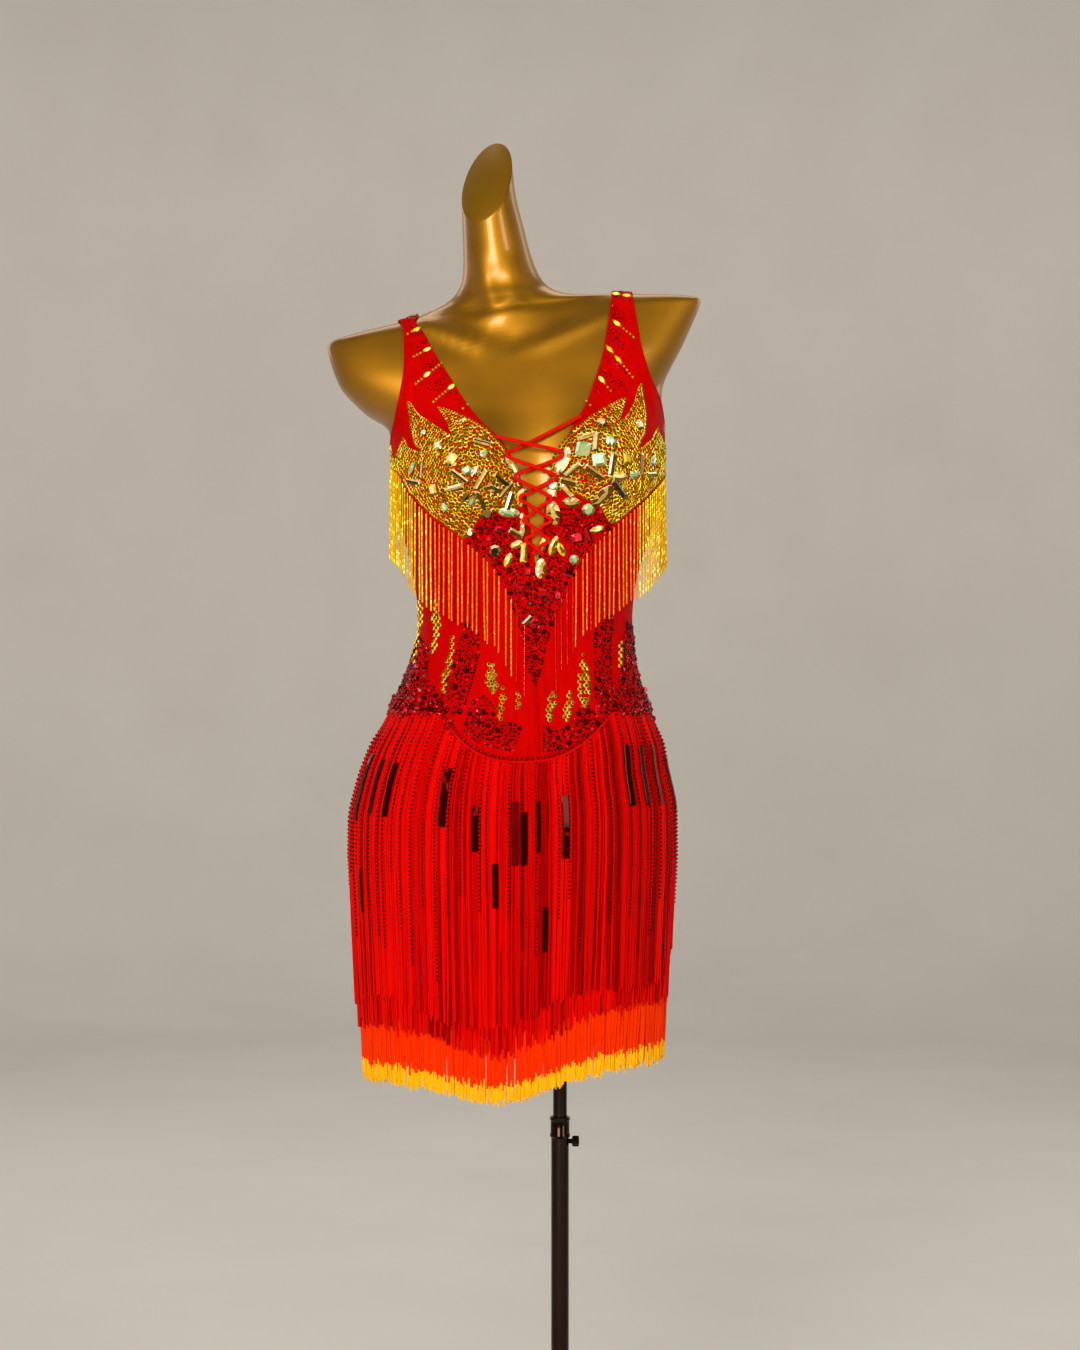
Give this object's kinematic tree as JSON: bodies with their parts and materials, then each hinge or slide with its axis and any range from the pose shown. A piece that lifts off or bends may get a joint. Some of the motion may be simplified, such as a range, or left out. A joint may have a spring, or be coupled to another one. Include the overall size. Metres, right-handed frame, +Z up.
{
  "type": "salsa dance dress on a limbless dress form with stand",
  "caption": "Short fitted dance dress with a laced plunging front, beaded gold fringe below the bust and long red-to-yellow hip fringe, on a gold limbless form and a telescopic stand.",
  "frame": {"origin": "middle of the stand's base plate, on its underside, on the floor", "axes": "+Z up; the dress faces -Y; the wearer's left side is at +X"},
  "size_m": [0.4203, 0.32, 1.5943],
  "materials": {
    "stretch_red": "satin stretch lycra with sewn crystals",
    "red_cord": "twisted satin cord",
    "red_fringe": "soft rayon strands",
    "orange_fringe": "soft rayon strands, dyed orange to yellow",
    "gold_beads": "strung glass bugle beads, gold lined",
    "gold_form": "glossy gold lacquer on fibreglass",
    "bronze_metal": "bronze-coloured, polished"
  },
  "bodies": {
    "stand": {"stand_base": "bronze_metal", "stand_hub": "bronze_metal", "stand_tube": "bronze_metal"},
    "mast": {"stand_mast": "bronze_metal"},
    "figure": {"form_torso": "gold_form", "form_socket": "bronze_metal", "front_right": "stretch_red", "front_left": "stretch_red", "back_right": "stretch_red", "back_left": "stretch_red", "skirt_base": "stretch_red", "fringe_upper": "red_fringe", "fringe_lower": "orange_fringe", "fringe_bust_right": "gold_beads", "fringe_bust_left": "gold_beads", "lace_a": "red_cord", "lace_b": "red_cord"},
    "screw": {"clamp_screw": "bronze_metal"}
  },
  "joints": [
    {"name": "height_slide", "type": "slide", "parent": "stand", "child": "mast", "axis": [0, 0, 1], "range_m": [-0.1, 0.12]},
    {"name": "form_turn", "type": "hinge", "parent": "mast", "child": "figure", "pos_m": [0, 0, 0.64], "axis": [0, 0, 1], "continuous": true},
    {"name": "screw_turn", "type": "hinge", "parent": "stand", "child": "screw", "pos_m": [0.0135, 0, 0.472], "axis": [1, 0, 0], "range_deg": [-360, 0]}
  ]
}
